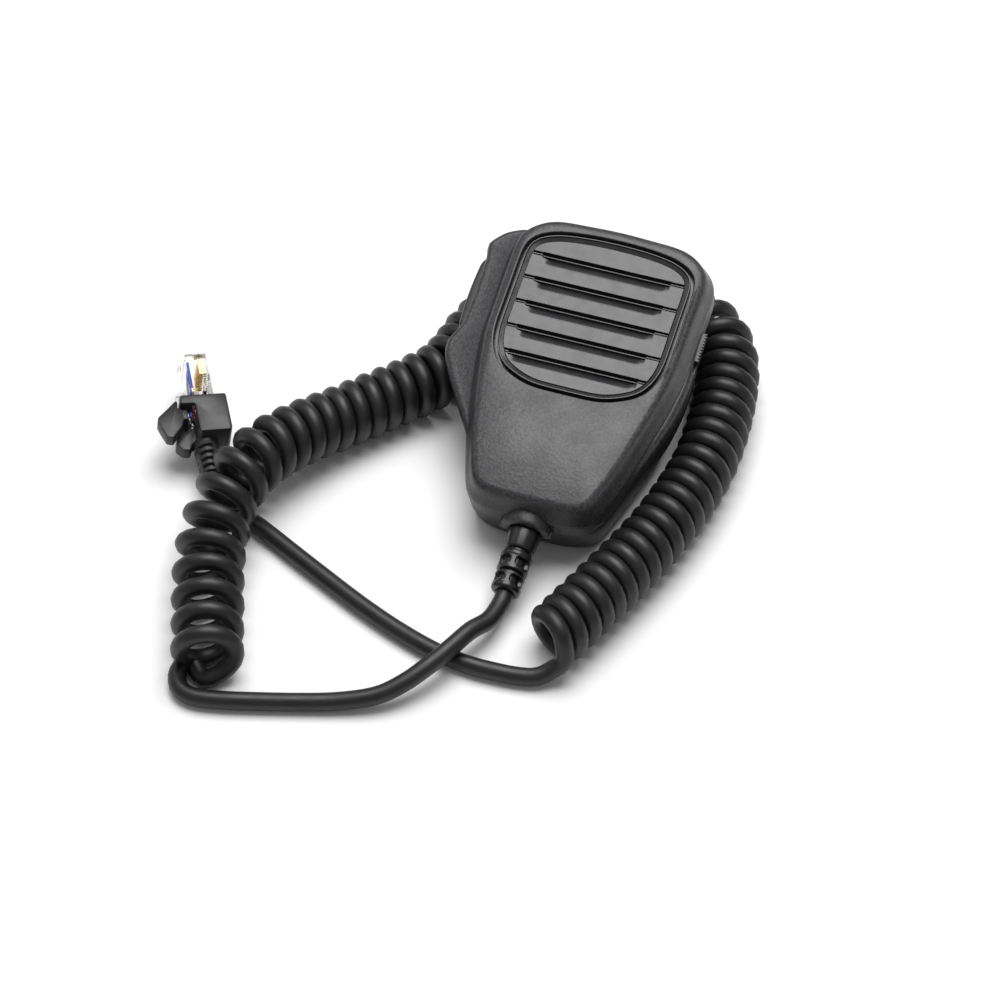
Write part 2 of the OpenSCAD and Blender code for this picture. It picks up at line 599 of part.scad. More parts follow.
// Springy latch, hinged at the plug's tip
module plug_latch() color([0.85, 0.9, 0.95, 0.5]) in_plug()
    translate([0, latch_pivot[0], latch_pivot[1]]) rotate([-latch_rise, 0, 0]) {
        translate([-3.1, -8, -0.5]) cube([6.2, 8.4, 1]);
        translate([-1.65, -latch_len, -0.5]) cube([3.3, latch_len, 1]);
    }

front_case();
rear_case();
louvre_panel();
panel_felt();
mic_capsule();
capsule_holder();
circuit_board();
board_parts();
board_screws();
case_screws();
ptt_lever();
ptt_pivot_pin();
ptt_return_spring();
ptt_switch_body();
ptt_switch_plunger();
slide_switch_can();
slide_switch_slider();
slide_switch_thumb();
hanging_button();
hanging_button_screw();
hanging_button_washer();
hanging_button_nut();
strain_relief();
cable_tail();
cable_clamp();
cable_clamp_screws();
wire_header();
inner_wires();
cord_lead_mic();
curly_cord();
cord_lead_plug();
plug_strain_relief();
plug_boot();
plug_boot_flap();
plug_body();
plug_contacts();
plug_wires();
plug_latch();
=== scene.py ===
import math

import bmesh
import bpy
from mathutils import Matrix, Vector


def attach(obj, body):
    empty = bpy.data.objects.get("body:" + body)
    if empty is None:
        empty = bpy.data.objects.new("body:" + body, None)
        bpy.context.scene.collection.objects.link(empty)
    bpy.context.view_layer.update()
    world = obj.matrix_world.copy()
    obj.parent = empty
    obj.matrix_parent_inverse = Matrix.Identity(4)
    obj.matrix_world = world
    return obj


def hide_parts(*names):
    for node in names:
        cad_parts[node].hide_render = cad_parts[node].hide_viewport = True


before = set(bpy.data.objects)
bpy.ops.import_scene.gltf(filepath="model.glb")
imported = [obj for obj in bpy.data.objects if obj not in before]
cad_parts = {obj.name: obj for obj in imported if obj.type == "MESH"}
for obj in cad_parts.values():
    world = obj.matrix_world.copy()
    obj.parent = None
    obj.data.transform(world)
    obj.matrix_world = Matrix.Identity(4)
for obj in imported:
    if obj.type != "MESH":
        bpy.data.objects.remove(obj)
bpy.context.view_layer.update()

# All lengths below are in millimetres; the meshes are made in metres.
MM = 0.001
scene = bpy.context.scene

# ---------------------------------------------------------------- the two frames
TILT = math.radians(14)
FRAME_X, FRAME_Y = 3.9, 3.2
TAIL_Y = -44.0
BACK_INSET = 3.2
LIFT = -(TAIL_Y + BACK_INSET) * math.sin(TILT)
CORD_FROM = Vector((4.2, 2.1, 0.0))
PLUG_AT = Vector((-95.3, -42.8, 8.0))

# Case: X across, Y to the head end, Z out of the face, Z = 0 on the flat back
CASE = Matrix.Translation((FRAME_X, FRAME_Y, LIFT)) @ Matrix.Rotation(TILT, 4, "X")
# Plug: Y along the plug to its tip, Z towards the latch
PLUG = (
    Matrix.Translation(CORD_FROM + PLUG_AT)
    @ Matrix.Rotation(math.radians(30), 4, "Z")
    @ Matrix.Rotation(math.radians(2), 4, "X")
    @ Matrix.Rotation(math.radians(-82), 4, "Y")
)

# Height of the parting seam over the case's back
SEAM_Z = 13.0
# Diameters of the cord and of the curl
CORD_D = 5.0
COIL_D = 18.4
# Free ends of the two strain reliefs: its place in the case's frame, and its length behind the boot
RELIEF_END_Y = -65.5
PLUG_RELIEF = 12.0


# ---------------------------------------------------------------- curves
def curve_at(a, b, c, d, t):
    """A point between b and c of the smooth curve through four points."""
    rising = (2 * a - 5 * b + 4 * c - d) * t * t + (3 * b - a - 3 * c + d) * t * t * t
    return 0.5 * (2 * b + (c - a) * t + rising)


def smooth(route, n):
    """A smooth curve through the points of a route, with n pieces between each two."""
    last = len(route) - 1
    points = []
    for i in range(last):
        four = [route[min(max(i + k, 0), last)] for k in (-1, 0, 1, 2)]
        points += [curve_at(*four, k / n) for k in range(n)]
    return points + [route[-1].copy()]


def lengths_along(points):
    """The length of a line up to each of its points."""
    out = [0.0]
    for a, b in zip(points, points[1:]):
        out.append(out[-1] + (b - a).length)
    return out


def evenly(points, step):
    """The same line with its points an even step apart."""
    along = lengths_along(points)
    count = max(2, round(along[-1] / step))
    out, i = [], 0
    for k in range(count + 1):
        want = along[-1] * k / count
        while i < len(points) - 2 and along[i + 1] < want:
            i += 1
        span = along[i + 1] - along[i]
        out.append(points[i].lerp(points[i + 1], (want - along[i]) / span if span else 0.0))
    return out


# ---------------------------------------------------------------- mesh helpers
def new_object(name, bm, material, into=None, smooth_angle=40, body="microphone"):
    """A mesh object in metres from a bmesh in millimetres, placed by the matrix of its frame."""
    bmesh.ops.remove_doubles(bm, verts=bm.verts, dist=1e-4)
    bmesh.ops.recalc_face_normals(bm, faces=bm.faces)
    bm.transform(Matrix.Scale(MM, 4) @ (into or Matrix.Identity(4)))
    mesh = bpy.data.meshes.new(name)
    bm.to_mesh(mesh)
    bm.free()
    shade(mesh)
    mesh.set_sharp_from_angle(angle=math.radians(smooth_angle))
    obj = bpy.data.objects.new(name, mesh)
    scene.collection.objects.link(obj)
    mesh.materials.append(material)
    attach(obj, body)
    return obj


def shade(mesh):
    """Smooth shading, apart from flat faces of many sides."""
    for polygon in mesh.polygons:
        polygon.use_smooth = polygon.loop_total <= 4


def loft(bm, rings, closed_loop=False):
    """A closed shell between rings of points of the same count: capped, or joined last to first."""
    rows = [[bm.verts.new(p) for p in ring] for ring in rings]
    count = len(rows[0])
    pairs = list(zip(rows, rows[1:])) + ([(rows[-1], rows[0])] if closed_loop else [])
    for a, b in pairs:
        for k in range(count):
            n = (k + 1) % count
            bm.faces.new((a[k], a[n], b[n], b[k]))
    if not closed_loop:
        bm.faces.new(rows[0][::-1])
        bm.faces.new(rows[-1])


def tube_rings(line, radius, sides):
    """Rings round a line, carried along it without twist."""
    rings, side = [], None
    for i, p in enumerate(line):
        along = (line[min(i + 1, len(line) - 1)] - line[max(i - 1, 0)]).normalized()
        if side is None:
            side = along.cross(Vector((0, 0, 1)) if abs(along.z) < 0.9 else Vector((1, 0, 0)))
        side = (side - along * side.dot(along)).normalized()
        up = side.cross(along)
        rings.append([
            p + radius * (math.cos(a) * side + math.sin(a) * up)
            for a in (math.tau * k / sides for k in range(sides))
        ])
    return rings


# ---------------------------------------------------------------- materials
def material(name, colour, roughness=0.5, metallic=0.0, specular=0.5, transmission=0.0):
    """A new material with these values on its shader."""
    m = bpy.data.materials.new(name)
    m.use_nodes = True
    shader = m.node_tree.nodes["Principled BSDF"]
    shader.inputs["Base Color"].default_value = (*colour, 1)
    shader.inputs["Roughness"].default_value = roughness
    shader.inputs["Metallic"].default_value = metallic
    shader.inputs["Specular IOR Level"].default_value = specular
    shader.inputs["Transmission Weight"].default_value = transmission
    return m


def noise(m, size, detail=2.0, seed=0.0):
    """A noise with features of the given size in millimetres, in the object's own coordinates."""
    nodes, links = m.node_tree.nodes, m.node_tree.links
    where = nodes.new("ShaderNodeTexCoord")
    place = nodes.new("ShaderNodeMapping")
    place.inputs["Location"].default_value = (seed, seed * 0.7, seed * 1.3)
    texture = nodes.new("ShaderNodeTexNoise")
    texture.inputs["Scale"].default_value = 1000.0 / size
    texture.inputs["Detail"].default_value = detail
    links.new(where.outputs["Object"], place.inputs["Vector"])
    links.new(place.outputs["Vector"], texture.inputs["Vector"])
    return texture.outputs["Fac"]


def ramp(m, value, stops):
    """A colour ramp over a value; each stop is a position and a grey level or colour."""
    node = m.node_tree.nodes.new("ShaderNodeValToRGB")
    bar = node.color_ramp
    while len(bar.elements) < len(stops):
        bar.elements.new(0.5)
    for element, (position, colour) in zip(bar.elements, stops):
        element.position = position
        element.color = (*colour, 1) if isinstance(colour, tuple) else (colour, colour, colour, 1)
    m.node_tree.links.new(value, node.inputs["Fac"])
    return node.outputs["Color"]


def blend_colours(m, a, b, factor, mode="MIX"):
    """Two colours mixed or multiplied; each input is a number or a node's output."""
    node = m.node_tree.nodes.new("ShaderNodeMix")
    node.data_type = "RGBA"
    node.blend_type = mode
    links = m.node_tree.links
    for socket, value in ((node.inputs[6], a), (node.inputs[7], b), (node.inputs[0], factor)):
        if isinstance(value, (int, float)):
            socket.default_value = value
        else:
            links.new(value, socket)
    return node.outputs[2]


def bump(m, height, depth, strength=1.0, under=None):
    """Relief of the given depth in millimetres."""
    node = m.node_tree.nodes.new("ShaderNodeBump")
    node.inputs["Strength"].default_value = strength
    node.inputs["Distance"].default_value = depth * MM
    m.node_tree.links.new(height, node.inputs["Height"])
    if under is not None:
        m.node_tree.links.new(under, node.inputs["Normal"])
    return node.outputs["Normal"]


def finish(m, colour, roughness, normal):
    """Joins the colour, the roughness and the relief to the material's shader."""
    shader = m.node_tree.nodes["Principled BSDF"]
    for name, value in (("Base Color", colour), ("Roughness", roughness), ("Normal", normal)):
        m.node_tree.links.new(value, shader.inputs[name])
    return m


def plain(name, colour, rough, grain=0.6, depth=0.02, vary=0.25, metallic=0.0, specular=0.5):
    """A moulded or machined finish: fine grain, slow colour drift and uneven gloss."""
    m = material(name, colour, rough, metallic, specular)
    slow, fine = noise(m, 14, 3, 1.7), noise(m, grain, 2, 4.1)
    dark = tuple(c * (1 - vary) for c in colour)
    light = tuple(min(1.0, c * (1 + vary)) for c in colour)
    tint = ramp(m, slow, [(0.3, dark), (0.7, light)])
    gloss = ramp(m, noise(m, 5, 3, 8.2), [(0.3, max(0.04, rough - 0.06)), (0.7, min(1.0, rough + 0.06))])
    return finish(m, tint, gloss, bump(m, fine, depth))


def textured_plastic(name, colour, rough, grain_shade_and_light, depth):
    """Spark-eroded case plastic: a tight leathery grain whose colour carries painted shade in its hollows and
    a painted highlight on its tops, and uneven gloss.
    """
    m = material(name, colour, rough)
    grain, cells = noise(m, 0.75, 3, 2.3), noise(m, 1.9, 2, 5.9)
    # The grain's colour follows the same noise as its bump: painted shade in the hollows and painted light on
    # the tops
    low = tuple(c * (1 - grain_shade_and_light) for c in colour)
    high = tuple(min(1.0, c * (1 + grain_shade_and_light)) for c in colour)
    tint = ramp(m, grain, [(0.36, low), (0.66, high)])
    slow = ramp(m, noise(m, 22, 3, 3.3), [(0.3, 0.86), (0.7, 1.0)])
    gloss = ramp(m, noise(m, 9, 4, 6.6), [(0.35, rough - 0.07), (0.7, rough + 0.05)])
    height = bump(m, cells, depth * 0.6, under=bump(m, grain, depth))
    return finish(m, blend_colours(m, tint, slow, 1.0, "MULTIPLY"), gloss, height)


def gloss_plastic(name, colour, rough):
    """Polished mould finish with faint flow marks and hairline rub marks."""
    m = material(name, colour, rough)
    dark = tuple(c * 0.85 for c in colour)
    light = tuple(c * 1.15 for c in colour)
    drift = ramp(m, noise(m, 9, 3, 9.1), [(0.3, dark), (0.7, light)])
    gloss = ramp(m, noise(m, 3.5, 4, 1.1), [(0.35, rough * 0.8), (0.65, rough * 1.25)])
    return finish(m, drift, gloss, bump(m, noise(m, 11, 2, 7.7), 0.03))


def clear_plastic(name):
    """Clear moulded plastic, faintly uneven, with a low index so that the wires stay readable."""
    m = material(name, (0.97, 0.98, 0.99), 0.04, transmission=1.0)
    shader = m.node_tree.nodes["Principled BSDF"]
    shader.inputs["IOR"].default_value = 1.2
    tint = ramp(m, noise(m, 4, 3, 2.2), [(0.3, (0.97, 0.98, 0.98)), (0.7, (1.0, 1.0, 1.0))])
    gloss = ramp(m, noise(m, 1.6, 3, 5.2), [(0.35, 0.02), (0.65, 0.07)])
    return finish(m, tint, gloss, bump(m, noise(m, 2.4, 2, 6.2), 0.02))


case_plastic = textured_plastic("case_plastic", (0.036, 0.036, 0.039), 0.44, 0.45, 0.08)
back_plastic = textured_plastic("back_plastic", (0.028, 0.028, 0.03), 0.5, 0.3, 0.05)
panel_plastic = gloss_plastic("panel_plastic", (0.02, 0.02, 0.022), 0.24)
lever_plastic = plain("lever_plastic", (0.022, 0.022, 0.024), 0.36, 0.5, 0.015)
cord_rubber = plain("cord_rubber", (0.0085, 0.0085, 0.0095), 0.44, 0.35, 0.02)
relief_rubber = plain("relief_rubber", (0.0075, 0.0075, 0.008), 0.3, 0.5, 0.015)
boot_rubber = plain("boot_rubber", (0.016, 0.016, 0.018), 0.42, 0.5, 0.02)
plug_clear = clear_plastic("plug_clear")
gold = plain("contact_gold", (0.83, 0.6, 0.22), 0.25, 0.4, 0.004, 0.1, 1.0)
steel = plain("plated_steel", (0.6, 0.6, 0.62), 0.3, 0.4, 0.006, 0.12, 1.0)
dark_steel = plain("blackened_steel", (0.05, 0.05, 0.055), 0.38, 0.4, 0.008, 0.2, 1.0)
board_green = plain("board_green", (0.02, 0.12, 0.05), 0.35, 1.2, 0.02, 0.2)
chip_black = plain("chip_black", (0.02, 0.02, 0.022), 0.5, 0.4, 0.01)
felt_black = plain("felt_black", (0.012, 0.012, 0.012), 0.95, 0.4, 0.12, 0.3, specular=0.1)
nylon_white = plain("nylon_white", (0.72, 0.69, 0.6), 0.4, 0.8, 0.01, 0.08)
switch_orange = plain("switch_orange", (0.6, 0.14, 0.03), 0.4, 0.6, 0.01, 0.12)
copper_wire = plain("wire_skin", (0.5, 0.3, 0.06), 0.4, 0.5, 0.01, 0.15)

INNER_FINISHES = {
    "panel_felt": felt_black, "mic_capsule": steel, "capsule_holder": chip_black,
    "circuit_board": board_green, "board_parts": chip_black, "board_screws": steel,
    "case_screws": dark_steel, "ptt_pivot_pin": steel, "ptt_return_spring": steel,
    "ptt_switch_body": chip_black, "ptt_switch_plunger": switch_orange,
    "slide_switch_can": steel, "slide_switch_slider": nylon_white, "slide_switch_thumb": lever_plastic,
    "hanging_button": steel, "hanging_button_screw": steel, "hanging_button_washer": steel,
    "hanging_button_nut": steel, "cable_tail": cord_rubber, "cable_clamp": steel, "cable_clamp_screws": steel,
    "wire_header": nylon_white, "inner_wires": copper_wire, "plug_contacts": gold,
}


def dress_cad_parts():
    """Gives the CAD parts that stay their finishes."""
    for node, finish_of in INNER_FINISHES.items():
        for slot in bpy.data.objects[node].material_slots:
            slot.material = finish_of


# ---------------------------------------------------------------- camera and light
def make_camera():
    """A long lens looking down on the whole object from the tail's side."""
    data = bpy.data.cameras.new("camera")
    data.lens = 123.1
    data.sensor_width = 36
    data.clip_end = 20
    camera = bpy.data.objects.new("camera", data)
    scene.collection.objects.link(camera)
    place = Vector((183.84, -613.44, 722.24)) * MM
    look_at = Vector((-9.30, -27.28, 0)) * MM
    camera.location = place
    camera.rotation_euler = (look_at - place).to_track_quat("-Z", "Y").to_euler()
    scene.camera = camera


def area_light(name, size, power, place):
    """A square soft light in metres and watts, turned to the origin."""
    data = bpy.data.lights.new(name, "AREA")
    data.shape = "RECTANGLE"
    data.size = size
    data.size_y = size
    data.energy = power
    lamp = bpy.data.objects.new(name, data)
    scene.collection.objects.link(lamp)
    lamp.location = place
    lamp.rotation_euler = (-Vector(place)).to_track_quat("-Z", "Y").to_euler()


def make_studio():
    """Pale floor, one large soft light above, a weak one on the left and an even surround."""
    bm = bmesh.new()
    floor_half = 3.0
    bmesh.ops.create_grid(bm, x_segments=8, y_segments=8, size=floor_half)
    mesh = bpy.data.meshes.new("floor")
    bm.to_mesh(mesh)
    bm.free()
    floor = bpy.data.objects.new("floor", mesh)
    scene.collection.objects.link(floor)
    mesh.materials.append(material("floor_white", (0.9, 0.9, 0.9), 0.6, specular=0.2))
    area_light("softbox_over", 0.9, 15.5, (-0.02, 0.32, 1.1))
    area_light("softbox_left", 0.8, 1.4, (-1.2, 0.3, 0.9))
    world = bpy.data.worlds.new("world")
    world.use_nodes = True
    world.node_tree.nodes["Background"].inputs["Color"].default_value = (1, 1, 1, 1)
    world.node_tree.nodes["Background"].inputs["Strength"].default_value = 0.3
    scene.world = world
    scene.view_settings.view_transform = "Standard"


# ---------------------------------------------------------------- cord
# The route: the lead from the microphone, its bend into the curl, the curl's axis, and the lead to the plug
LEAD_MIC = [
    (-1.5, -75.6, 6.4), (-4.6, -81.6, 7.8), (-7.7, -88.8, 8.0), (-11.3, -95.6, 7.4), (-16, -102, 5.9),
    (-22, -107.2, 4.2), (-31.2, -111.3, 3.0), (-41.5, -114.7, 2.6), (-52, -117.9, 2.6), (-61, -120.4, 2.6),
]
LEAD_MIC_BEND = [(-68.4, -121.6, 2.6), (-73, -119.9, 2.6), (-75.2, -115.2, 2.7), (-73.4, -110.4, 3.0)]
COIL_ROUTE = [
    (-66.6, -114.6, 9.6), (-69.6, -107, 9.7), (-72.6, -99, 9.7), (-75.7, -91, 9.8), (-79, -81, 10.6),
    (-80.8, -71, 12.4), (-80.8, -62, 14.2), (-79.2, -53, 15), (-75.9, -43.5, 14.2), (-70.3, -33.2, 12.2),
    (-63.2, -23.1, 10), (-54.8, -13.1, 9.3), (-47.2, -4.4, 9.2), (-41.4, 3.8, 9.2), (-38.9, 12, 9.2),
    (-37.2, 21, 9.2), (-33.4, 31, 9.2), (-25.2, 40, 9.2), (-13.4, 45.6, 9.2), (0, 47.6, 9.2),
    (13, 48.2, 9.2), (23.2, 45.4, 9.2), (31, 38.2, 9.2), (35.4, 28, 9.2), (37.6, 16, 9.2),
    (38.6, 4, 9.2), (38.5, -8, 9.2), (36.8, -20, 9.2), (34.1, -32.3, 9.2), (30.6, -43.4, 9.2),
    (26.5, -54.5, 9.2), (22.1, -65.8, 9.2), (16.8, -79, 9.2),
]
LEAD_PLUG_BEND = [(19.4, -84.8, 4.6), (15.8, -87.2, 3.0)]
LEAD_PLUG = [
    (11, -88.3, 2.6), (5, -88.8, 2.6), (-2.4, -88.8, 2.6), (-12.4, -87.4, 2.6), (-24.4, -83.7, 2.6),
    (-36.4, -78.8, 2.6), (-48.5, -73.1, 2.6), (-60.6, -67.2, 2.6), (-71.2, -62, 2.6), (-79.4, -58.4, 2.6),
    (-85.4, -56.8, 3.6),
]
# Radius of the curl's own line: wide at the open end, then as wound
COIL_R = (COIL_D - CORD_D) / 2
WIDE_R = 7.5
WIDE_TO = 90.0
# Pitch of the turns where the curl is pulled open: (distance along its axis, pitch)
OPEN_TURNS = [(0, 6.9), (8, 8.0), (20, 8.5), (45, 8.5), (62, 8.2), (75, 6.4), (92, 5.1)]
# Lean of the turns at the open end and over the last stretch, and that stretch's length
YAW = math.radians(10)
END_YAW = math.radians(-14)
END_YAW_LENGTH = 14
# Where on the turn the curl begins and ends, in degrees
START_ANGLE = 262
END_ANGLE = 190
TURN_POINTS = 20
# Step along the curl's axis, and how many steps on each side its bend is measured over
AXIS_STEP = 0.5
BEND_SPAN = 12


def shift(points):
    """The route's points moved to where the object rests."""
    return [Vector(p) + CORD_FROM for p in points]


def coil_line():
    """The curl's line: its axis is the route, and its turns are as close as the cord and the bends allow."""
    axis = evenly(smooth(shift(COIL_ROUTE), 12), AXIS_STEP)
    along = lengths_along(axis)
    last = len(axis) - 1
    density = []
    for i in range(len(axis)):
        bend = 0.0
        if BEND_SPAN <= i <= last - BEND_SPAN:
            before, here, after = axis[i - BEND_SPAN], axis[i], axis[i + BEND_SPAN]
            bend = (after - here).normalized().angle((here - before).normalized(), 0.0)
        pitch = CORD_D / (1 - COIL_R * bend / (BEND_SPAN * AXIS_STEP))
        for (s0, p0), (s1, p1) in zip(OPEN_TURNS, OPEN_TURNS[1:]):
            if s0 <= along[i] < s1:
                pitch = max(pitch, p0 + (p1 - p0) * (along[i] - s0) / (s1 - s0))
        density.append(1 / pitch)
    turns = [0.0]
    for i in range(1, len(axis)):
        turns.append(turns[-1] + (along[i] - along[i - 1]) * (density[i] + density[i - 1]) / 2)
    part_turn = (END_ANGLE - START_ANGLE) / 360
    whole = math.floor(turns[-1] - part_turn) + part_turn
    scale = whole / turns[-1]
    line, i = [], 0
    steps = round(whole * TURN_POINTS)
    for k in range(steps + 1):
        want = k / steps * turns[-1]
        while i < last - 1 and turns[i + 1] < want:
            i += 1
        t = (want - turns[i]) / (turns[i + 1] - turns[i])
        centre = axis[i].lerp(axis[i + 1], t)
        wide = max(0.0, 1 - along[i] / WIDE_TO)
        radius = COIL_R + (WIDE_R - COIL_R) * min(1.0, wide * 1.6)
        ahead = (axis[min(i + 6, last)] - axis[max(i - 5, 0)]).normalized()
        near_end = max(0.0, 1 - (along[-1] - along[i]) / END_YAW_LENGTH)
        ahead = Matrix.Rotation(YAW * wide + END_YAW * near_end, 3, "Z") @ ahead
        right = ahead.cross(Vector((0, 0, 1))).normalized()
        up = right.cross(ahead)
        angle = math.radians(START_ANGLE) + math.tau * want * scale
        line.append(centre + radius * (math.cos(angle) * right + math.sin(angle) * up))
    return line


def make_cord():
    """One cord from the microphone's strain relief, through the curl, to the plug's strain relief."""
    start = [CASE @ Vector((0, RELIEF_END_Y + d, SEAM_Z)) for d in (2, -3)]
    lead_in = smooth(start + shift(LEAD_MIC) + shift(LEAD_MIC_BEND), 6)
    curl = coil_line()
    ending = [PLUG @ Vector((0, -PLUG_RELIEF + d, 0)) for d in (-3, 0, 2)]
    lead_out = smooth(shift(LEAD_PLUG_BEND) + shift(LEAD_PLUG) + ending, 6)
    # The bends into the first and out of the last turn are smoothed together with the turns' own points
    into = smooth(lead_in[-13::6] + curl[0:9:4], 6)[6:-6]
    out_of = smooth(curl[-9::4] + lead_out[0:13:6], 6)[6:-6]
    line = evenly(lead_in[:-7] + into, 1.6) + curl[5:-5] + evenly(out_of + lead_out[7:], 1.6)
    bm = bmesh.new()
    loft(bm, tube_rings(line, CORD_D / 2, 20))
    cord = new_object("cord", bm, cord_rubber)
    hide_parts("cord_lead_mic", "curly_cord", "cord_lead_plug")
    return cord, [p * MM for p in line]


# ---------------------------------------------------------------- outlines
# The shells' rings are read off along rays from this centre
CENTRE = Vector((0, 16, 0))
RAYS = 240


def rounded(corners, radius, steps):
    """A closed outline with each corner rounded."""
    out = []
    for i, p in enumerate(corners):
        a, b, c = (Vector((*corners[(i + k) % len(corners)], 0)) for k in (-1, 0, 1))
        to_a, to_c = (a - b).normalized(), (c - b).normalized()
        half = to_a.angle(to_c) / 2
        trim = 0.0
        if half < 1.56:
            trim = min(radius / math.tan(half), (a - b).length * 0.49, (c - b).length * 0.49)
        if trim < 0.05:
            out.append(b)
            continue
        start, end = b + to_a * trim, b + to_c * trim
        for k in range(steps + 1):
            t = k / steps
            out.append(start.lerp(b, t).lerp(b.lerp(end, t), t))
    return out


def softened(corners, width):
    """A closed outline with its corners drawn round over a width on each side."""
    sharp = [Vector((*p, 0)) for p in corners]
    step = 0.5
    line = evenly(sharp + [sharp[0]], step)[:-1]
    n, span = len(line), round(width / step)
    for _ in range(3):
        line = [
            sum((line[(i + k) % n] for k in range(-span, span + 1)), Vector((0, 0, 0))) / (2 * span + 1)
            for i in range(n)
        ]
    return line[::2]


def grown(outline, distance):
    """The outline moved outwards along its normals."""
    n = len(outline)
    area = sum(p.x * q.y - q.x * p.y for p, q in zip(outline, outline[1:] + outline[:1]))
    sign = 1 if area > 0 else -1
    out = []
    for i in range(n):
        along = (outline[(i + 1) % n] - outline[i - 1]).normalized()
        out.append(outline[i] + distance * sign * Vector((along.y, -along.x, 0)))
    return out


def reach(outline, angle):
    """How far the outline is from the centre in the direction of an angle."""
    d = Vector((math.cos(angle), math.sin(angle), 0))
    far = 0.0
    n = len(outline)
    for i in range(n):
        p, q = outline[i] - CENTRE, outline[(i + 1) % n] - CENTRE
        e = q - p
        cross = d.x * e.y - d.y * e.x
        if abs(cross) < 1e-9:
            continue
        t = (p.x * e.y - p.y * e.x) / cross
        u = (p.x * d.y - p.y * d.x) / cross
        if t > far and -1e-6 <= u <= 1 + 1e-6:
            far = t
    return far


def ray_angles(outline):
    """Angles whose rays cut the outline at even steps."""
    loop = evenly(outline + [outline[0]], 0.5)
    total = len(loop) - 1
    points = [loop[round(k * total / RAYS)] - CENTRE for k in range(RAYS)]
    return [math.atan2(p.y, p.x) for p in points]


def mirrored(half):
    """An outline from its right half, head end first."""
    return half + [(-x, y) for x, y in reversed(half) if x > 0.01]


SEAM = softened(mirrored([
    (0, 46.6), (19, 45.5), (27, 40.8), (29.4, 26), (31, 8), (29.8, -4), (26.6, -16), (21.9, -32), (18.6, -42),
    (9, -44.3),
]), 3)
WING = softened([
    (-15, 44.4), (-28.4, 43.9), (-33.5, 41.4), (-37.6, 36.4), (-36.3, 32.6), (-36, 20), (-36.2, 9.6),
    (-38.8, 3.6), (-38.1, -1), (-34.8, -7), (-30.4, -14), (-24.6, -22.8), (-20, -31.4), (-15, -36),
], 1.2)
FACE = softened(mirrored([
    (0, 45.0), (20, 44.1), (27.4, 38.4), (27.0, 5), (24.8, -8), (20.6, -27), (15.8, -42), (8, -42.4),
]), 3)
PANEL = softened(mirrored([
    (0, 41.3), (8, 41.1), (18, 39.9), (24.6, 36.2), (24.5, 24), (24.5, 4), (21, -4.2), (11, -8.8),
]), 3)
OUTLINES = {"seam": SEAM, "wing": WING, "face": FACE, "panel": PANEL}
ANGLES = ray_angles(grown(SEAM, 1.5))
KNOWN_RADII = {}


def radii(name, distance):
    """How far a named outline, grown by a distance, is from the centre along each ray."""
    key = (name, round(distance, 3))
    if key not in KNOWN_RADII:
        outline = grown(OUTLINES[name], distance)
        KNOWN_RADII[key] = [reach(outline, a) for a in ANGLES]
    return KNOWN_RADII[key]


def base_radii(distance):
    """The case's outline with the wing on it."""
    return [max(s, w) for s, w in zip(radii("seam", distance), radii("wing", distance))]


def ring(values, z):
    """A level ring of points at these distances from the centre."""
    return [
        Vector((CENTRE.x + r * math.cos(a), CENTRE.y + r * math.sin(a), z)) for r, a in zip(values, ANGLES)
    ]


def circle(radius, sides):
    """Points of a circle round the origin, as pairs."""
    angles = [math.tau * k / sides for k in range(sides)]
    return [(radius * math.cos(a), radius * math.sin(a)) for a in angles]


# ---------------------------------------------------------------- cutting
def solid(name, bm, into=None):
    """A plain mesh object for cutting with; it is removed afterwards."""
    bmesh.ops.remove_doubles(bm, verts=bm.verts, dist=1e-4)
    bmesh.ops.recalc_face_normals(bm, faces=bm.faces)
    bm.transform(Matrix.Scale(MM, 4) @ (into or Matrix.Identity(4)))
    mesh = bpy.data.meshes.new(name)
    bm.to_mesh(mesh)
    bm.free()
    obj = bpy.data.objects.new(name, mesh)
    scene.collection.objects.link(obj)
    return obj


def cut(piece, cutters, operation="DIFFERENCE", smooth_angle=40):
    """Applies a boolean with each cutter to the piece's mesh and removes the cutters."""
    for cutter in cutters:
        modifier = piece.modifiers.new("cut", "BOOLEAN")
        modifier.operation = operation
        modifier.solver = "EXACT"
        modifier.object = cutter
        bpy.context.view_layer.update()
        evaluated = piece.evaluated_get(bpy.context.evaluated_depsgraph_get())
        mesh = bpy.data.meshes.new_from_object(evaluated)
        piece.modifiers.remove(modifier)
        old, piece.data = piece.data, mesh
        bpy.data.meshes.remove(old)
        used = cutter.data
        bpy.data.objects.remove(cutter)
        bpy.data.meshes.remove(used)
    while len(piece.data.materials) > 1:
        piece.data.materials.pop()
    for polygon in piece.data.polygons:
        polygon.material_index = 0
    shade(piece.data)
    piece.data.set_sharp_from_angle(angle=math.radians(smooth_angle))


def lathe(bm, profile, sides, along, centre):
    """A closed round shell along Y or Z; the profile is a list of (place along the axis, radius)."""
    rings = []
    for place, r in profile:
        points = [(u, place, v) if along == "Y" else (u, v, place) for u, v in circle(r, sides)]
        rings.append([Vector(p) + Vector(centre) for p in points])
    loft(bm, rings)


def block(bm, low, high, bevel):
    """A box between two corners, with rounded edges where there is a bevel."""
    made = bmesh.ops.create_cube(bm, size=1)["verts"]
    low, high = Vector(low), Vector(high)
    for v in made:
        v.co = Vector([low[i] + (v.co[i] + 0.5) * (high[i] - low[i]) for i in range(3)])
    if bevel:
        edges = list({e for v in made for e in v.link_edges})
        bmesh.ops.bevel(
            bm, geom=edges, offset=bevel, segments=3, affect="EDGES", profile=0.5, clamp_overlap=True
        )


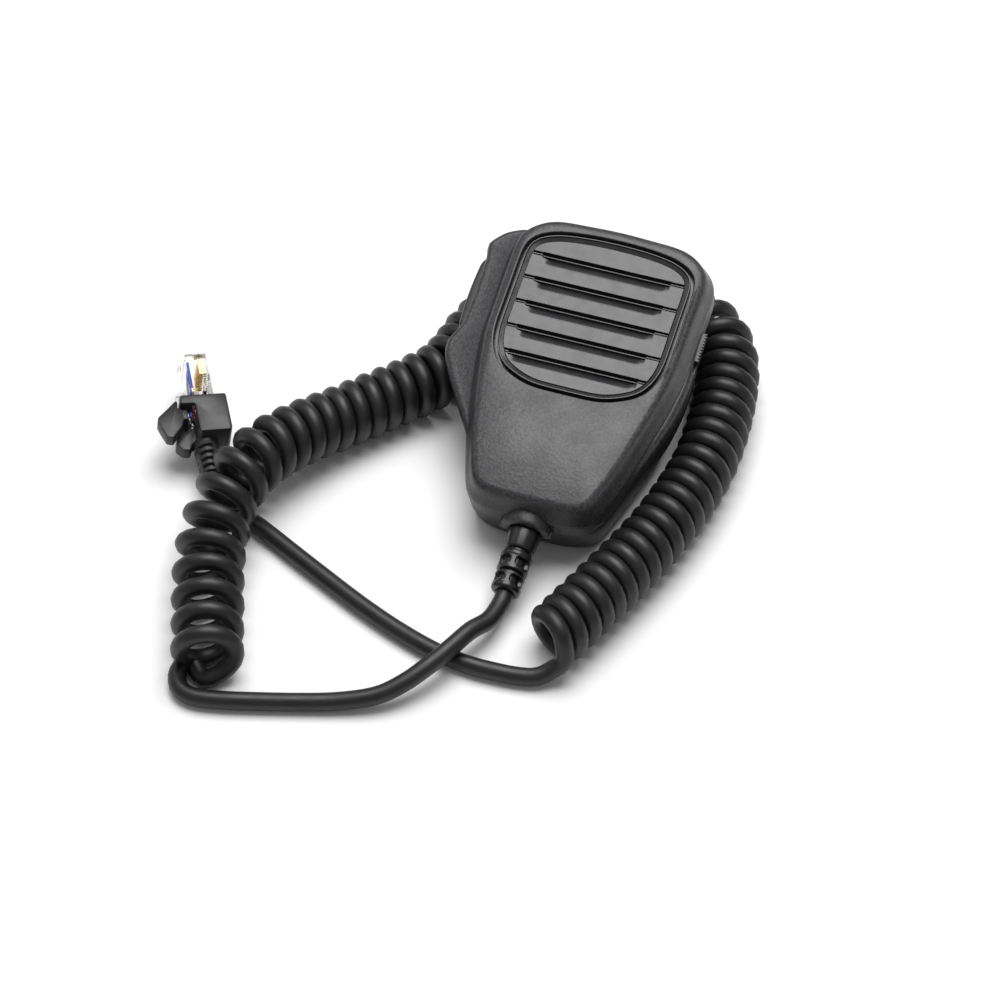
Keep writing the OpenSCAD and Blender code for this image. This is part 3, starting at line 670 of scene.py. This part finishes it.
# ---------------------------------------------------------------- microphone case
# Growth of an outline at each height, as (height, growth): the shelf's wall from the seam up, the raised
# pod's wall from its crease up, the pod's rounded edge, and the rear shell's wall from the seam down
BASE_WALL = [
    (13.0, -0.3), (13.25, -0.05), (14.6, 0.0), (15.6, -0.12), (16.3, -0.45), (16.75, -0.95), (16.95, -1.7),
]
POD_WALL = [
    (16.95, 2.9), (17.25, 2.5), (18, 2.05), (19, 1.6), (20.5, 1.1), (22, 0.75), (23.2, 0.35), (23.9, 0.0),
]
POD_EDGE = [(24.2, -0.3), (24.45, -0.7), (24.65, -1.15), (24.8, -1.6)]
BACK_WALL = [
    (12.7, -0.35), (12.3, -0.2), (9, -0.35), (6, -0.7), (3, -1.15), (1.3, -1.6), (0.5, -2.0), (0.0, -2.9),
]
# Growth of the face's outline that the shelf always reaches to
SHELF_LEAST = 2.3
SCREW_PLACES = ((21, 35), (-21, 35), (13.6, -29.5), (-13.6, -29.5))
BOARD_POST_PLACES = ((21.4, 25), (-21.4, 25), (18.6, -15), (-18.6, -15))


def front_case_rings():
    """Rings of the front shell: up its outside, down into the panel's seat and back down its inside."""
    rings = []
    least = radii("face", SHELF_LEAST)
    for z, distance in BASE_WALL:
        rings.append(ring([max(b, d) for b, d in zip(base_radii(distance), least)], z))
    shelf = [max(b, d) for b, d in zip(base_radii(-1.7), least)]
    for z, distance in POD_WALL:
        rings.append(ring([min(f, s - 0.02) for f, s in zip(radii("face", distance), shelf)], z))
    for z, distance in POD_EDGE:
        rings.append(ring(radii("face", distance), z))
    for z, distance in ((25, 0.85), (24.92, 0.5), (24.7, 0.35), (24.2, 0.3), (22.6, 0.3)):
        rings.append(ring(radii("panel", distance), z))
    for z, distance in ((22.6, -4.5), (21, -4.5)):
        rings.append(ring(radii("panel", distance), z))
    rings.append(ring(radii("face", -1.8), 21))
    rings.append(ring(radii("face", 0.2), 17.6))
    inner = base_radii(-2.0)
    for z in (15.0, 13.0):
        rings.append(ring(inner, z))
    return rings


def bosses(bm):
    """Bored bosses for the case screws, and thinner posts for the circuit board."""
    top = 21.4
    for places, low, outer, inner in ((SCREW_PLACES, 13.0, 3.2, 1.3), (BOARD_POST_PLACES, 12.6, 2.2, 1.0)):
        for x, y in places:
            rings = []
            for z, r in ((low, inner), (low, outer), (top, outer), (top, inner)):
                rings.append([Vector((x + u, y + v, z)) for u, v in circle(r, 32)])
            loft(bm, rings, closed_loop=True)


def lever_window(z0, z1):
    """Cutter for the lever's opening in the left wall, between two heights."""
    bm = bmesh.new()
    block(bm, (-42, 7.5, z0), (-32.8, 33.5, z1), 0)
    return solid("lever_window", bm, CASE)


def relief_hole():
    """Cutter for the strain relief's hole through the tail."""
    bm = bmesh.new()
    lathe(bm, [(-52, 4.72), (-36, 4.72)], 64, "Y", (0, 0, SEAM_Z))
    return solid("relief_hole", bm, CASE)


def slide_window():
    """Cutter for the slide switch's slot in the right wall."""
    bm = bmesh.new()
    block(bm, (26, 11.5, 13.8), (35, 24.5, 16.4), 0)
    return solid("slide_window", bm, CASE)


def make_front_case():
    """Front shell with its openings, and the bosses inside it."""
    bm = bmesh.new()
    loft(bm, front_case_rings(), closed_loop=True)
    case = new_object("front_case_shell", bm, case_plastic, CASE, 38)
    cut(case, [lever_window(11, 15.0), slide_window(), relief_hole()], smooth_angle=38)
    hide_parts("front_case")
    bm = bmesh.new()
    bosses(bm)
    new_object("front_case_bosses", bm, case_plastic, CASE, 40)


def make_collar():
    """Raised arch over the strain relief, with small feet on the seam."""
    bm = bmesh.new()
    section = [
        (-47.0, 5.15), (-47.0, 6.5), (-46.7, 6.95), (-46.1, 7.15), (-44.6, 7.2), (-41, 6.9), (-38.5, 6.2),
        (-38.5, 5.15),
    ]
    rings = []
    for k in range(33):
        a = math.pi * k / 32
        rings.append([
            Vector((r * math.cos(a), y, SEAM_Z + 0.05 + r * math.sin(a) * 0.98)) for y, r in section
        ])
    loft(bm, rings)
    for side in (-1, 1):
        foot_x = side * 6.4
        block(bm, (foot_x - 1.0, -46.9, SEAM_Z + 0.05), (foot_x + 1.0, -40, SEAM_Z + 1.5), 0.3)
    new_object("case_collar", bm, case_plastic, CASE, 35)


def rear_case_rings():
    """Rings of the rear shell: up its inside, over the seam and down its outside."""
    rings = [
        ring(radii("seam", -5.0), 2.2), ring(radii("seam", -4.0), 4),
        ring(base_radii(-3.4), 10), ring(base_radii(-2.3), 12.7),
    ]
    for z, distance in BACK_WALL:
        # The wing's underside rises towards its edge
        wing = [r + distance - max(0.0, 9 - z) * 0.9 for r in radii("wing", 0)]
        rings.append(ring([max(s, w) for s, w in zip(radii("seam", distance), wing)], z))
    return rings


def make_rear_case():
    """Rear shell with the lever's opening, the tail's hole and the screws' counterbores."""
    bm = bmesh.new()
    loft(bm, rear_case_rings())
    case = new_object("rear_case_shell", bm, back_plastic, CASE, 38)
    cutters = [lever_window(8.0, 14), relief_hole()]
    bm = bmesh.new()
    for x, y in SCREW_PLACES:
        lathe(bm, [(-1, 2.6), (2.9, 2.6)], 32, "Z", (x, y, 0))
    lathe(bm, [(-1, 2.15), (4, 2.15)], 32, "Z", (0, 12, 0))
    cutters.append(solid("screw_holes", bm, CASE))
    cut(case, cutters, smooth_angle=38)
    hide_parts("rear_case")


# ---------------------------------------------------------------- louvre panel
# Middle lines of the slots, and the half width and the sideways place of the deep ones
SLOT_Y = [32.4 - 8 * i for i in range(5)]
SLOT_HALF = 18.6
SLOT_X = -0.4
# Ends of the slatted field, its level and its underside
FIELD_LOW = -8.2
FIELD_HIGH = 40.4
SLAT_Z = 24.15
FIELD_UNDER = 22.62


def panel_frame():
    """The insert's border: outer groove, thin lip and the slope down to the slats."""
    rows = [
        (22.66, 0.0), (22.9, 0.0), (22.9, -0.6), (24.6, -0.65), (24.86, -0.75), (24.86, -0.95), (24.6, -1.05),
        (24.35, -1.15), (23.9, -2.3), (23.2, -2.5), (22.66, -2.5),
    ]
    bm = bmesh.new()
    rings = []
    for z, distance in rows:
        rings.append(ring(radii("panel", distance), z))
    loft(bm, rings, closed_loop=True)
    return bm


def slat_height(x, v):
    """Height over the slats' level at a distance v below a slot's middle line."""
    off_middle = abs(x - SLOT_X)
    if off_middle < SLOT_HALF:
        if -0.85 < v < 0.42:
            return -1.5
        if 0.42 <= v <= 0.62:
            return 0.0
        if 0.62 < v < 0.95:
            return -0.9
        fade = min(1.0, max(0.0, (SLOT_HALF - off_middle) / 2.6))
        if 0.95 <= v < 3.0:
            return -0.85 * fade * (1 - (v - 0.95) / 2.05)
        return 0.0
    if -0.75 < v < -0.02:
        return -1.4
    if -0.02 <= v <= 0.2:
        return 0.0
    if 0.2 < v < 0.6:
        return -0.35
    return 0.0


def panel_field():
    """One closed slab whose top carries the slots, the bright lips and the shaded pockets."""
    even = [-25 + 0.5 * k for k in range(101)]
    slot_ends = {round(SLOT_X + side * SLOT_HALF + d, 3) for side in (-1, 1) for d in (-0.02, 0.02)}
    xs = sorted({x for x in even if abs(abs(x - SLOT_X) - SLOT_HALF) > 0.2} | slot_ends)
    # Rows on both sides of each step of slat_height, then a few down the slope
    steps = (-0.85, -0.75, -0.02, 0.2, 0.42, 0.62, 0.95)
    offsets = [s + d for s in steps for d in (-0.01, 0.01)] + [1.6, 2.3, 3.0, 4.2, 5.6]
    ys = {FIELD_LOW, FIELD_HIGH}
    for y in SLOT_Y:
        ys |= {round(y - v, 3) for v in offsets}
    ys = sorted(y for y in ys if FIELD_LOW <= y <= FIELD_HIGH)
    bm = bmesh.new()
    top, bottom = {}, {}
    for i, x in enumerate(xs):
        for j, y in enumerate(ys):
            v = min((s - y for s in SLOT_Y), key=lambda d: abs(d - 1.0))
            top[i, j] = bm.verts.new((x, y, SLAT_Z + slat_height(x, v)))
            bottom[i, j] = bm.verts.new((x, y, FIELD_UNDER))
    last_i, last_j = len(xs) - 1, len(ys) - 1
    for i in range(last_i):
        for j in range(last_j):
            bm.faces.new((top[i, j], top[i + 1, j], top[i + 1, j + 1], top[i, j + 1]))
            bm.faces.new((bottom[i, j], bottom[i, j + 1], bottom[i + 1, j + 1], bottom[i + 1, j]))
    for i in range(last_i):
        for j in (0, last_j):
            bm.faces.new((top[i, j], top[i + 1, j], bottom[i + 1, j], bottom[i, j]))
    for j in range(last_j):
        for i in (0, last_i):
            bm.faces.new((top[i, j], top[i, j + 1], bottom[i, j + 1], bottom[i, j]))
    return bm


def make_panel():
    """The border, and the slatted field trimmed to the border's inner edge."""
    new_object("louvre_border", panel_frame(), panel_plastic, CASE, 30)
    slats = new_object("louvre_slats", panel_field(), panel_plastic, CASE, 24)
    bm = bmesh.new()
    edge = radii("panel", -2.45)
    loft(bm, [ring(edge, 22), ring(edge, 26)])
    cut(slats, [solid("field_edge", bm, CASE)], "INTERSECT", 24)
    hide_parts("louvre_panel")


# ---------------------------------------------------------------- push-to-talk lever
def make_lever():
    """Bowed finger strip beside the wing, with its pivot ear and the pad that presses the switch."""
    rings = []
    count, low_y, length = 26, 8.05, 24.9
    bow_r, bow_x, middle_y = 120.1, 82, 20.5
    inner = -32.5
    for k in range(count + 1):
        y = low_y + length * k / count
        end = min(k, count - k)
        ease = (0.9, 0.35, 0.1)[end] if end < 3 else 0.0
        outer = bow_x - math.sqrt(bow_r ** 2 - (y - middle_y) ** 2) + ease
        top, low = 14.66 - ease * 0.6, 8.34 + ease * 0.6
        section = [
            (inner, low), (outer + 1.1, low), (outer + 0.5, low + 0.25), (outer + 0.12, low + 0.9),
            (outer, low + 2), (outer, top - 1.6), (outer + 0.15, top - 0.7), (outer + 0.5, top - 0.2),
            (outer + 1.1, top), (inner, top),
        ]
        rings.append([Vector((x, y, z)) for x, z in section])
    bm = bmesh.new()
    loft(bm, rings)
    block(bm, (-33.8, 5.5, 9.6), (-32.5, 8.3, 13.4), 0.25)
    block(bm, (-32.6, 13, 11.5), (-31.62, 16, 14.5), 0.15)
    lever = new_object("ptt_finger_lever", bm, lever_plastic, CASE, 40, "ptt_lever")
    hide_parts("ptt_lever")


# ---------------------------------------------------------------- strain relief on the case
def make_strain_relief():
    """Smooth cone, ring gap, two windowed segments with bone-shaped bars and an end ring."""
    bm = bmesh.new()
    flange = [(-39, 2.75), (-39, 6.3), (-38.8, 6.5), (-37.2, 6.5), (-37, 6.3), (-37, 2.75)]
    rings = []
    for y, r in flange:
        rings.append([Vector((u, y, SEAM_Z + v)) for u, v in circle(r, 48)])
    loft(bm, rings, closed_loop=True)
    lathe(bm, [
        (-38.5, 4.6), (-46, 4.6), (-48.2, 4.5), (-52.3, 4.15), (-52.7, 4.05), (-52.95, 3.8), (-53, 3.3),
        (-53.75, 3.25), (-53.8, 3.8), (-54, 4.2), (-54.4, 4.4), (-55.3, 4.4), (-55.7, 4.2), (-55.8, 3.1),
        (-58.2, 3.05), (-58.3, 4.1), (-58.7, 4.32), (-59.3, 4.25), (-59.6, 3.9), (-59.7, 3.2), (-60.1, 3.2),
        (-60.2, 3.9), (-60.6, 4.15), (-61, 4.1), (-61.2, 2.95), (-63.4, 2.9), (-63.5, 3.85), (-63.9, 4.1),
        (-64.9, 4.05), (-65.3, 3.8), (-65.5, 3.2), (-65.5, 2.62), (-65.0, 2.55), (-38.5, 2.55),
    ], 56, "Y", (0, 0, SEAM_Z))
    for low, high, r in ((-58.6, -55.4, 4.28), (-63.8, -60.8, 4.02)):
        for quarter in range(4):
            turn = (
                Matrix.Translation((0, 0, SEAM_Z)) @ Matrix.Rotation(math.pi / 2 * quarter, 4, "Y")
                @ Matrix.Translation((0, 0, -SEAM_Z))
            )
            rings = []
            for k in range(9):
                t = k / 8
                half = 0.75 + 1.0 * (2 * t - 1) ** 4
                y = low + (high - low) * t
                rings.append([
                    turn @ Vector((x, y, SEAM_Z + z)) for x, z in (
                        (-half, 2.4), (half, 2.4), (half, r - 0.42), (half * 0.8, r - 0.14), (0, r),
                        (-half * 0.8, r - 0.14), (-half, r - 0.42),
                    )
                ])
            loft(bm, rings)
    relief = new_object("cord_strain_relief", bm, relief_rubber, CASE, 42)
    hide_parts("strain_relief")


# ---------------------------------------------------------------- modular plug and its boot
# In the plug's frame: the boot's front, the plug's tip, its underside, its top and half its width
BOOT_LEN = 13.4
PLUG_TIP = 29.6
PLUG_LOW = -3.9
PLUG_TOP = 2.7
PLUG_HALF = 5.85
# Spacing of the eight ways, and the place of the outermost one
WAY_PITCH = 1.02
WAY_OUTER = 3.57


def slab_yz(bm, outline, x0, x1, bevel):
    """A closed slab of an outline in the plug's side view, between two places across it."""
    rings = []
    for x, inset in (
        (x0, bevel), (x0 + bevel * 0.35, bevel * 0.3), (x0 + bevel, 0),
        (x1 - bevel, 0), (x1 - bevel * 0.35, bevel * 0.3), (x1, bevel),
    ):
        rings.append([Vector((x, p.x, p.y)) for p in grown(outline, -inset)])
    loft(bm, rings)


def make_boot():
    """Rubber block with a socket for the plug and a channel for its latch, and the foot beside it."""
    bm = bmesh.new()
    side = rounded([
        (0, -6.4), (0, 2.0), (1.2, 2.1), (10.3, 2.1), (10.3, 6.1), (BOOT_LEN, 6.1), (BOOT_LEN, -7.1),
        (1.0, -7.1),
    ], 0.8, 4)
    slab_yz(bm, side, -7, 7, 0.45)
    boot = new_object("modular_boot", bm, boot_rubber, PLUG, 32)
    bm = bmesh.new()
    block(bm, (-PLUG_HALF - 0.03, 8, PLUG_LOW - 0.03), (PLUG_HALF + 0.03, 20, PLUG_TOP + 0.03), 0)
    socket = solid("plug_socket", bm, PLUG)
    bm = bmesh.new()
    block(bm, (-2.4, 9, 2.4), (2.4, 20, 8), 0)
    cut(boot, [socket, solid("latch_channel", bm, PLUG)], smooth_angle=32)
    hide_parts("plug_boot")
    # Lower rear foot under the hood's free end, one shell beside the block
    bm = bmesh.new()
    foot = rounded([
        (6, 1.9), (5.6, 3.6), (3.6, 7.8), (0.2, 8.4), (-1.9, 6.6), (-2, 4.6), (0.3, 3.7), (0.3, 1.9),
    ], 0.8, 4)
    slab_yz(bm, foot, -2.6, 1.4, 0.5)
    new_object("modular_boot_foot", bm, boot_rubber, PLUG, 32)


def make_hood():
    """Soft hood over the latch's free end, with the button that presses the latch."""
    bm = bmesh.new()
    outline = rounded([
        (13.4, 6.45), (7, 12.8), (5.6, 13.1), (3, 12.4), (-0.2, 11.3), (-0.8, 9.5), (3.4, 6.4), (6, 5.6),
        (9.8, 5.8), (9.9, 6.9),
    ], 0.7, 4)
    slab_yz(bm, outline, 1.8, 5.6, 0.45)
    block(bm, (-2.2, 6.2, 4.2), (5.0, 9.7, 6.4), 0.35)
    bm.normal_update()
    hood = new_object("modular_boot_hood", bm, boot_rubber, PLUG, 32, "plug_boot_flap")
    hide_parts("plug_boot_flap")


def make_plug_relief():
    """Ribbed neck behind the boot, with four bars along it that join the ribs."""
    bm = bmesh.new()
    profile = [(0.4, 2.55), (0.4, 3.9), (-0.4, 3.6)]
    for k in range(5):
        y, r = -0.8 - 2.25 * k, 3.5 - 0.14 * k
        profile += [
            (y, r), (y - 0.2, r + 0.2), (y - 1.0, r + 0.2), (y - 1.2, r),
            (y - 1.3, r - 0.75), (y - 2.1, r - 0.8),
        ]
    profile += [(-PLUG_RELIEF, 2.85), (-PLUG_RELIEF, 2.55)]
    lathe(bm, profile, 40, "Y", (0, 0, 0))
    for quarter in range(4):
        turn = Matrix.Rotation(math.pi / 2 * quarter + 0.5, 4, "Y")
        rings = []
        for y, r in ((0.2, 3.75), (-11.8, 3.0)):
            bar = ((-0.55, 2), (0.55, 2), (0.45, r), (-0.45, r))
            rings.append([turn @ Vector((x, y, z)) for x, z in bar])
        loft(bm, rings)
    relief = new_object("modular_plug_relief", bm, boot_rubber, PLUG, 40)
    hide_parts("plug_strain_relief")


def make_plug_body():
    """Clear eight-way body with the contact slots, a step at its shoulders and a hollow rear."""
    bm = bmesh.new()
    outline = rounded([
        (BOOT_LEN - 5, PLUG_LOW), (BOOT_LEN - 5, PLUG_TOP), (PLUG_TIP - 7, PLUG_TOP),
        (PLUG_TIP - 6.4, PLUG_TOP - 0.5), (PLUG_TIP, PLUG_TOP - 0.5), (PLUG_TIP, PLUG_LOW),
    ], 0.25, 2)
    slab_yz(bm, outline, -PLUG_HALF, PLUG_HALF, 0.2)
    body = new_object("modular_plug_body", bm, plug_clear, PLUG, 30)
    cutters = []
    bm = bmesh.new()
    for k in range(8):
        x = -WAY_OUTER + WAY_PITCH * k
        block(bm, (x - 0.27, PLUG_TIP - 6.5, PLUG_LOW - 1), (x + 0.27, PLUG_TIP - 1, PLUG_LOW + 2.4), 0)
    cutters.append(solid("contact_slots", bm, PLUG))
    bm = bmesh.new()
    block(bm, (-4.7, 5, -1.2), (4.7, BOOT_LEN + 4, 2.0), 0)
    block(bm, (-4.3, BOOT_LEN + 3, -2.4), (4.3, PLUG_TIP - 1.6, 2.2), 0)
    cutters.append(solid("wire_space", bm, PLUG))
    cut(body, cutters, smooth_angle=30)
    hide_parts("plug_body")


# One colour for each way, from the greatest X down
WIRE_COLOURS = [
    (0.02, 0.08, 0.5), (0.35, 0.06, 0.02), (0.1, 0.22, 0.12), (0.45, 0.02, 0.02), (0.8, 0.22, 0.02),
    (0.85, 0.85, 0.82), (0.85, 0.6, 0.05), (0.8, 0.75, 0.2),
]


def make_wires():
    """Eight wires that leave the cord in a twist and lie flat side by side at the tip."""
    names = []
    for k, colour in enumerate(WIRE_COLOURS):
        x = WAY_OUTER - WAY_PITCH * k
        line = [Vector(p) for p in (
            (x * 0.7, 8.8, 0.4 + x * 0.8), (x * 0.9, 13, 0.4 + x * 0.7), (x, 17, 0.4 + x * 0.5),
            (x, 22, 0.4 + x * 0.32), (x, PLUG_TIP - 2, 0.4 + x * 0.25),
        )]
        bm = bmesh.new()
        loft(bm, tube_rings(evenly(smooth(line, 6), 0.8), 0.42, 14))
        name = f"plug_wire_{k + 1}"
        skin = plain(f"wire_{k + 1}", colour, 0.35, 0.5, 0.008, 0.12)
        wire = new_object(name, bm, skin, PLUG, 50)
        names.append(name)
        if k == 0:
            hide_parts("plug_wires")
    return names


def make_latch():
    """Springy tongue hinged at the tip, narrowing towards its free end."""
    bm = bmesh.new()
    hinge = Matrix.Translation((0, PLUG_TIP - 1.4, PLUG_TOP + 0.75))
    rise = hinge @ Matrix.Rotation(math.radians(-11), 4, "X")
    rings = []
    for y, half, thick in (
        (0.4, 3.1, 0.35), (0.1, 3.1, 0.5), (-7.6, 3.1, 0.5), (-8.0, 3.0, 0.5), (-8.3, 1.75, 0.5),
        (-16.6, 1.65, 0.45), (-17, 1.5, 0.3),
    ):
        rings.append([rise @ Vector((x, y, z)) for x, z in (
            (-half, -thick), (half, -thick), (half, thick * 0.6),
            (half - 0.2, thick), (-half + 0.2, thick), (-half, thick * 0.6),
        )])
    loft(bm, rings)
    latch = new_object("modular_plug_latch", bm, plug_clear, PLUG, 30, "plug_latch")
    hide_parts("plug_latch")


# ---------------------------------------------------------------- making everything
make_camera()
make_studio()
cord, cord_line = make_cord()
make_front_case()
make_collar()
make_rear_case()
make_panel()
make_lever()
make_strain_relief()
make_boot()
make_hood()
make_plug_relief()
make_plug_body()
wire_names = make_wires()
make_latch()
dress_cad_parts()
